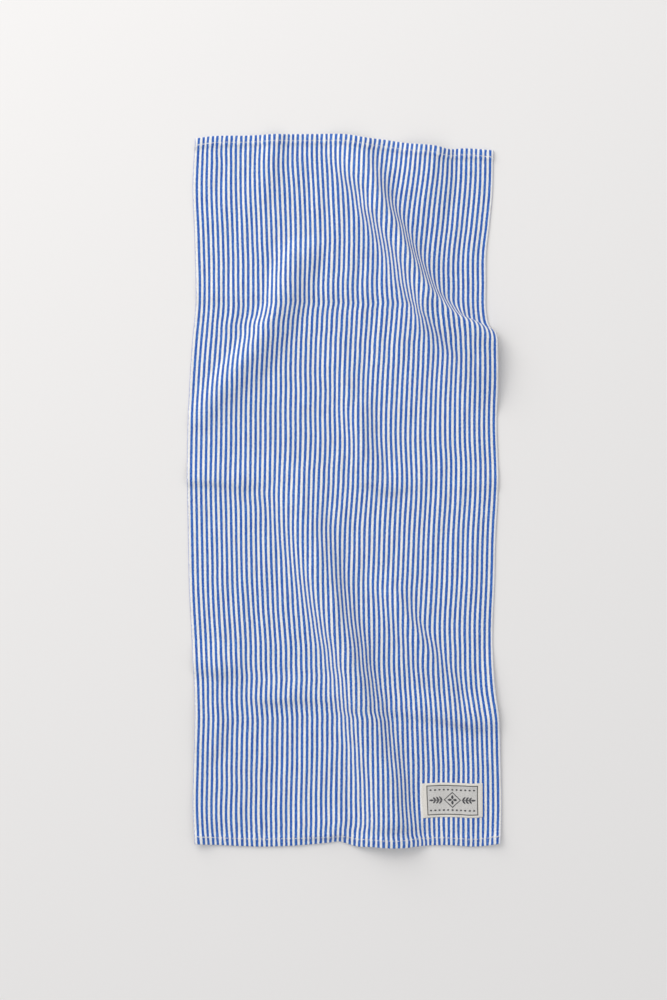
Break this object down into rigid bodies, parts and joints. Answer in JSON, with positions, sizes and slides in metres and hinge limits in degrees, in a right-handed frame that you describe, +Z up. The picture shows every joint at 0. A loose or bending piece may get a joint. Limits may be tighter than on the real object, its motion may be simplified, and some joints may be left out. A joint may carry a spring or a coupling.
{
  "type": "striped linen towel",
  "caption": "Striped linen towel laid out flat with soft folds, narrow stitched hems at both ends and a small sewn-on label.",
  "frame": {"origin": "centre of the footprint, on the surface that the towel lies on", "axes": "+Y along the towel's length towards the hem furthest from the label, +X towards the side with the label, +Z up"},
  "size_m": [0.3468, 0.7845, 0.0265],
  "materials": {
    "striped_linen": "matte plain weave, blue and off-white lengthwise stripes",
    "label_tape": "matte woven cotton tape, cream"
  },
  "bodies": {
    "root": {"towel_cloth": "striped_linen", "woven_label": "label_tape"}
  },
  "joints": []
}
